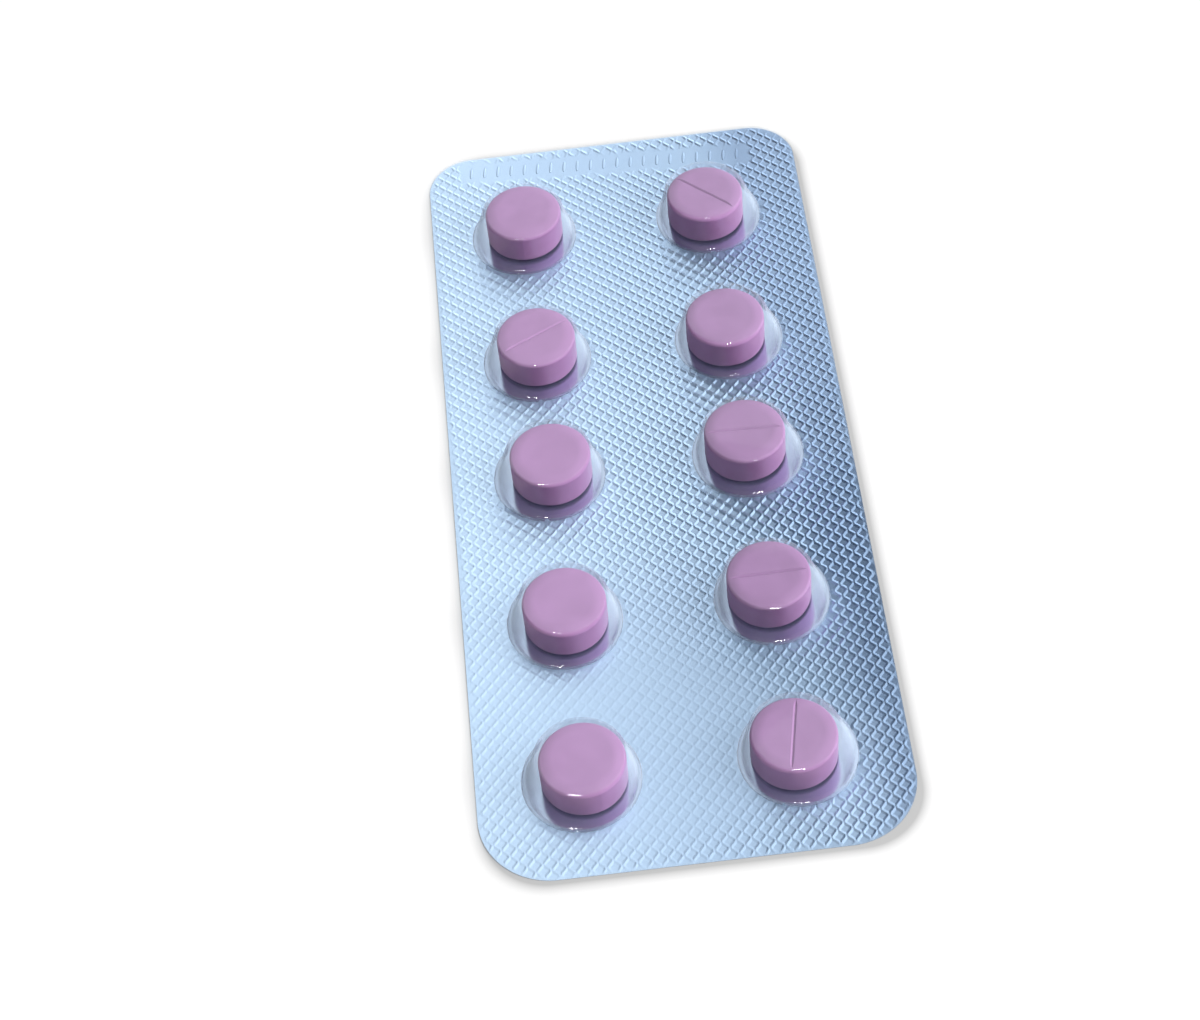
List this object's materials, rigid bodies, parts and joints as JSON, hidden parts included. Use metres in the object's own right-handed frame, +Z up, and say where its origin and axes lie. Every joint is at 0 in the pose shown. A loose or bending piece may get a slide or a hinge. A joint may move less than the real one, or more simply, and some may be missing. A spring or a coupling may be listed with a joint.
{
  "type": "pill blister pack",
  "caption": "Flat push-through blister pack: clear formed film with round pockets, knurled foil lidding and round bevelled scored tablets.",
  "frame": {"origin": "on the surface that the foil lies on, under the centre of the pack's outline", "axes": "+Y along the pack towards the end with the smooth code strip, +X across it to the right, +Z up out of the pockets"},
  "size_m": [0.0398, 0.091, 0.004],
  "materials": {
    "foil": "satin, knurled",
    "clear_film": "clear gloss",
    "tablet": "film-coated, soft sheen"
  },
  "bodies": {
    "root": {"lidding_foil": "foil", "blister_film": "clear_film", "tablet_left_1": "tablet", "tablet_left_2": "tablet", "tablet_left_3": "tablet", "tablet_left_4": "tablet", "tablet_left_5": "tablet", "tablet_right_1": "tablet", "tablet_right_2": "tablet", "tablet_right_3": "tablet", "tablet_right_4": "tablet", "tablet_right_5": "tablet"}
  },
  "joints": []
}
